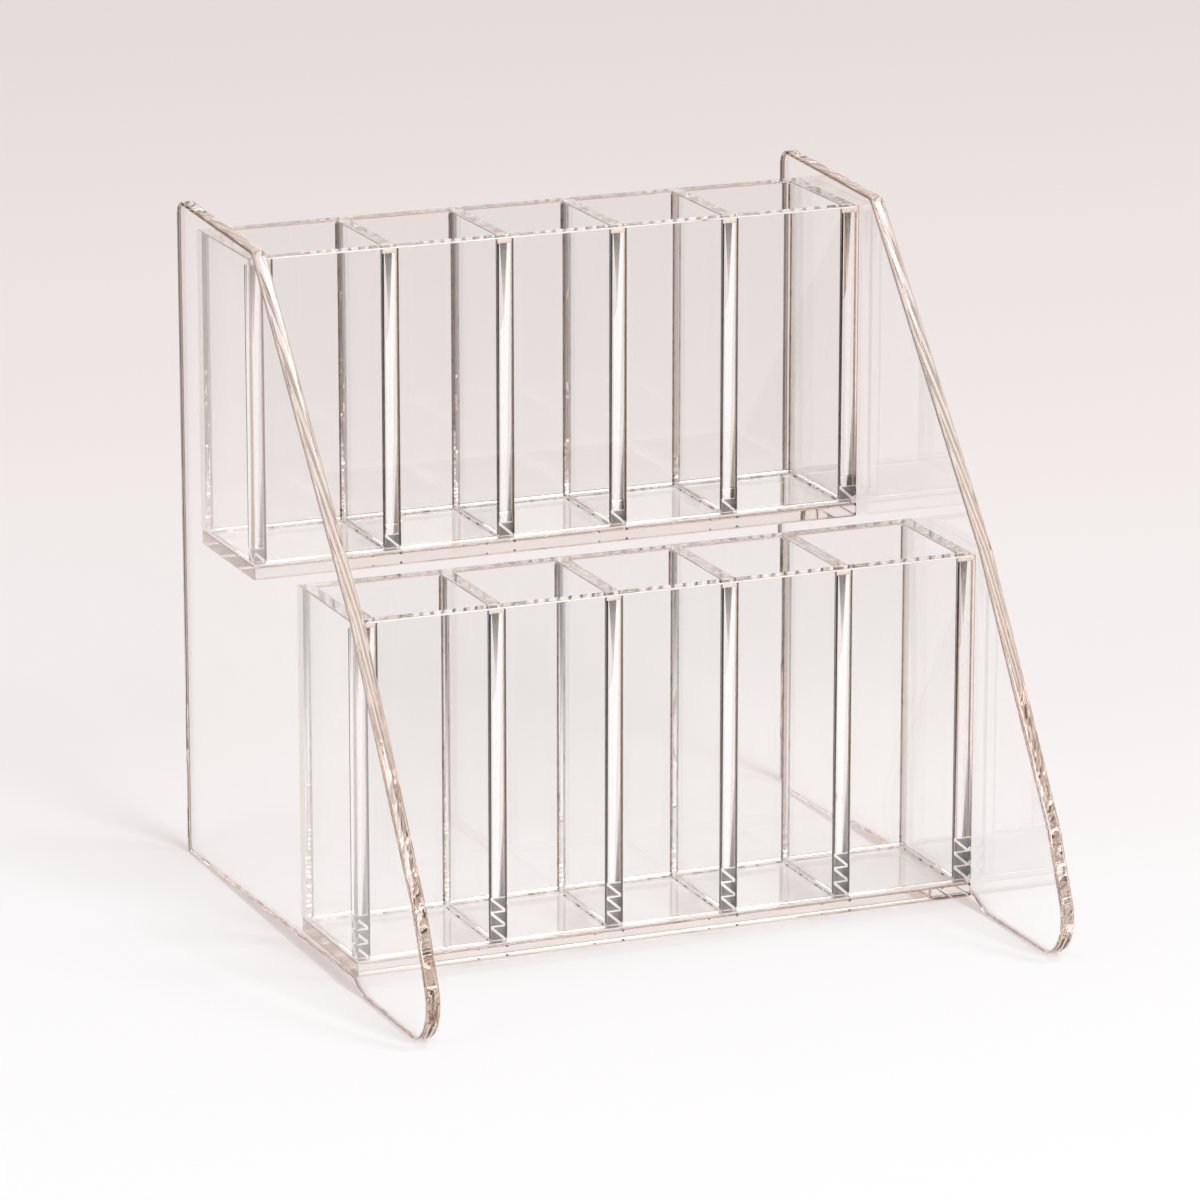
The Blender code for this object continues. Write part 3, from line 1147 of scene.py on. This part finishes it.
# %% Where the bubbles are
def bubble_points(tray, chance):
    """A mesh of loose points with the half sizes of a bubble on each."""
    spans, front, back, base = slot_corners(tray)[:4]
    sheet = 3.0 * MM
    floor_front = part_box(f"{tray}_floor")[0].y
    shape = bmesh.new()
    extent = shape.verts.layers.float_vector.new("extent")

    def bubble(place, size):
        shape.verts.new(place)[extent] = Vector(size) * MM

    starts = [start for start, end in spans[1:]] + [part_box(f"{tray}_end_wall_right")[1].x]
    for start in starts:
        foot = start - sheet
        for level in (0.5, 1.4, 2.4):
            size = chance.uniform(0.15, 0.24)
            bubble((foot - 0.2 * MM, back - 0.3 * MM, base + level * MM), (size, size, size * 1.2))
        for step in range(4):
            y = front + (back - front) * (step + chance.uniform(0.2, 0.8)) / 4
            bubble((foot - 0.08 * MM, y, base + 0.12 * MM),
                   (0.10, chance.uniform(0.3, 0.8), 0.12))
        for x, size in ((start - 0.25 * MM, 0.24), (foot - 3.4 * MM, 0.17)):
            for level in (-0.5, -2.5):
                bubble((x, floor_front + 0.45 * MM, base + level * MM),
                       (size * 1.2, size, size))
    return finished_mesh(shape, tray + "_bubble_points", None)


for number, tray in enumerate(("upper_tray", "lower_tray")):
    mesh = run_tree(bubble_tree, bubble_points(tray, random.Random(11 + number)),
                    {"Material": trapped_air}, tray + "_bubbles")
    place_piece(tray + "_bubbles", mesh)

# %% [markdown]
# ## Floor
# The stand is on a white sweep of paper that turns a pale pinkish grey further back, out of
# the light. A disc wide enough to reach past every view does for the paper, and the change of
# tone is in its colour.

# %% Paper tones
PAPER_STOPS = [
    (0.00, (0.963, 0.958, 0.958)),
    (0.10, (0.945, 0.915, 0.905)),
    (0.25, (0.922, 0.880, 0.872)),
    (0.42, (0.912, 0.853, 0.835)),
    (1.00, (0.905, 0.828, 0.805)),
]
ROOM_DARK = (0.07, 0.062, 0.058)
ROOM_DIM = (0.15, 0.138, 0.13)
PAPER_FRONT = 0.05
PAPER_FADE = 0.10
PAPER_HALF_WIDTH = 0.26
PAPER_FLARE = 0.45
PAPER_TURN = math.radians(22.76)
FIBRES_PER_METRE = 900.0
print("paper tones:", len(PAPER_STOPS))

# %% [markdown]
# The sheet of paper lies turned to the left, and its depth is counted along it. In front of it
# and at its sides the studio is dark. The stand's edges catch that darkness as the grey lines
# that give clear plastic its drawing, so rays that have already been reflected inside the
# plastic see a dim room there, and all others see plain paper.

# %% Paper material
paper, tree, place = new_material("paper")
squared = Wire.node(tree, "ShaderNodeMapping",
                    inputs={"Vector": place, "Rotation": (0, 0, PAPER_TURN)})
depth = part(squared, "Y")
aside = part(squared, "X").combined("ABSOLUTE")
grain = bump(noise(place, 1 / FIBRES_PER_METRE, 3.0), 0.1, 0.05 * MM)
sheet = Wire.node(tree, "ShaderNodeBsdfPrincipled", inputs={
    "Base Color": ramp(depth, PAPER_STOPS), "Roughness": 0.9, "Specular IOR Level": 0.0,
    "Normal": grain})
off_front = rise(depth * -1.0, PAPER_FRONT, PAPER_FRONT + PAPER_FADE)
off_side = rise(aside - depth * PAPER_FLARE, PAPER_HALF_WIDTH, PAPER_HALF_WIDTH + PAPER_FADE)
reflected = (ray_test(tree, "Glossy Depth").combined("GREATER_THAN", 0.5)
             * ray_test(tree, "Transmission Depth").combined("GREATER_THAN", 1.5))
off_paper = off_front.combined("MAXIMUM", off_side) * reflected
dim_room = Wire.node(tree, "ShaderNodeEmission", inputs={"Color": ROOM_DIM, "Strength": 1.0})
surface = choose(off_paper, sheet, dim_room)
Wire.node(tree, "ShaderNodeOutputMaterial", inputs={"Surface": surface})
print("paper nodes:", len(tree.nodes))

# %% [markdown]
# The disc lies a hair below the feet, so that the two faces never flicker.

# %% Floor
FLOOR_RADIUS = 8.0
FLOOR_DROP = 0.05 * MM

shape = bmesh.new()
bmesh.ops.create_circle(shape, cap_ends=True, radius=FLOOR_RADIUS, segments=96)
bmesh.ops.translate(shape, vec=(0, 0, -FLOOR_DROP), verts=shape.verts)
floor_mesh = finished_mesh(shape, "paper_floor", paper)
paper_floor = bpy.data.objects.new("paper_floor", floor_mesh)
scene.collection.objects.link(paper_floor)
print("floor radius:", FLOOR_RADIUS)

# %% [markdown]
# ## Studio
# Clear plastic is drawn by what stands round it. Behind the stand the room is bright in the
# middle and warm and dark beside that, in front it is dark with a bright right side, and its
# ceiling is bright. Only rays that come out of the plastic see all that, and it gives the edges
# their black, peach and white lines. The camera sees a pale wall instead, and the paper gets an
# even fill light.

# %% Room
ROOM_PALE = (0.86, 0.83, 0.82)
ROOM_FILL = (0.63, 0.625, 0.63)
ROOM_WARM = (0.60, 0.525, 0.465)
ROOM_BRIGHT = (0.99, 0.955, 0.94)
ROOM_TOP = (2.0, 2.0, 2.0)
BACK_TONES = [(0.20, ROOM_DARK), (0.36, ROOM_WARM), (0.45, ROOM_BRIGHT), (0.62, ROOM_BRIGHT),
              (0.80, ROOM_WARM)]
FRONT_TONES = [(0.62, ROOM_DARK), (0.74, ROOM_BRIGHT)]

world = bpy.data.worlds.new("studio_room")
world.use_nodes = True
scene.world = world
tree = world.node_tree
tree.nodes.clear()
direction = Wire.node(tree, "ShaderNodeTexCoord", output="Generated")
squared = Wire.node(tree, "ShaderNodeMapping",
                    inputs={"Vector": direction, "Rotation": (0, 0, PAPER_TURN)})
sideways, away, upward = (part(squared, axis) for axis in "XYZ")
from_left = sideways * 0.5 + 0.5
walls = blend(rise(away, -0.1, 0.3), ramp(from_left, FRONT_TONES), ramp(from_left, BACK_TONES))
room = blend(rise(upward, 0.70, 0.80), walls, ROOM_TOP)
in_plastic = ray_test(tree, "Is Glossy Ray").combined("MAXIMUM",
                                                      ray_test(tree, "Is Transmission Ray"))
before_paper = ray_test(tree, "Diffuse Depth").combined("LESS_THAN", 0.5)
lit = blend(in_plastic * before_paper, ROOM_FILL, room)
seen = blend(ray_test(tree, "Is Camera Ray"), lit, ROOM_PALE)
background = Wire.node(tree, "ShaderNodeBackground", inputs={"Color": seen, "Strength": 1.0})
Wire.node(tree, "ShaderNodeOutputWorld", inputs={"Surface": background})
print("room tones:", ROOM_PALE, ROOM_DARK)

# %% [markdown]
# Three soft boxes do the lighting: a large key from the front right, a weak fill from the left,
# and a small one high up. They are far away and large, so the light falls evenly and the
# shadow behind the stand stays soft.

# %% Soft boxes
def soft_box(name, place, size, power):
    """A square lamp of this size, in metres, that points at the stand."""
    light = bpy.data.lights.new(name, "AREA")
    light.shape = "SQUARE"
    light.size = size
    light.energy = power
    lamp = bpy.data.objects.new(name, light)
    lamp.location = place
    lamp.rotation_mode = "QUATERNION"
    lamp.rotation_quaternion = (-Vector(place)).to_track_quat("-Z", "Y")
    scene.collection.objects.link(lamp)
    print(name, power, "W")


soft_box("key_soft_box", (0.55, -3.3, 2.53), 1.5, 72)
soft_box("side_soft_box", (-2.4, -0.96, 1.6), 1.3, 10)
soft_box("top_soft_box", (1.12, -0.80, 2.66), 0.6, 9.6)
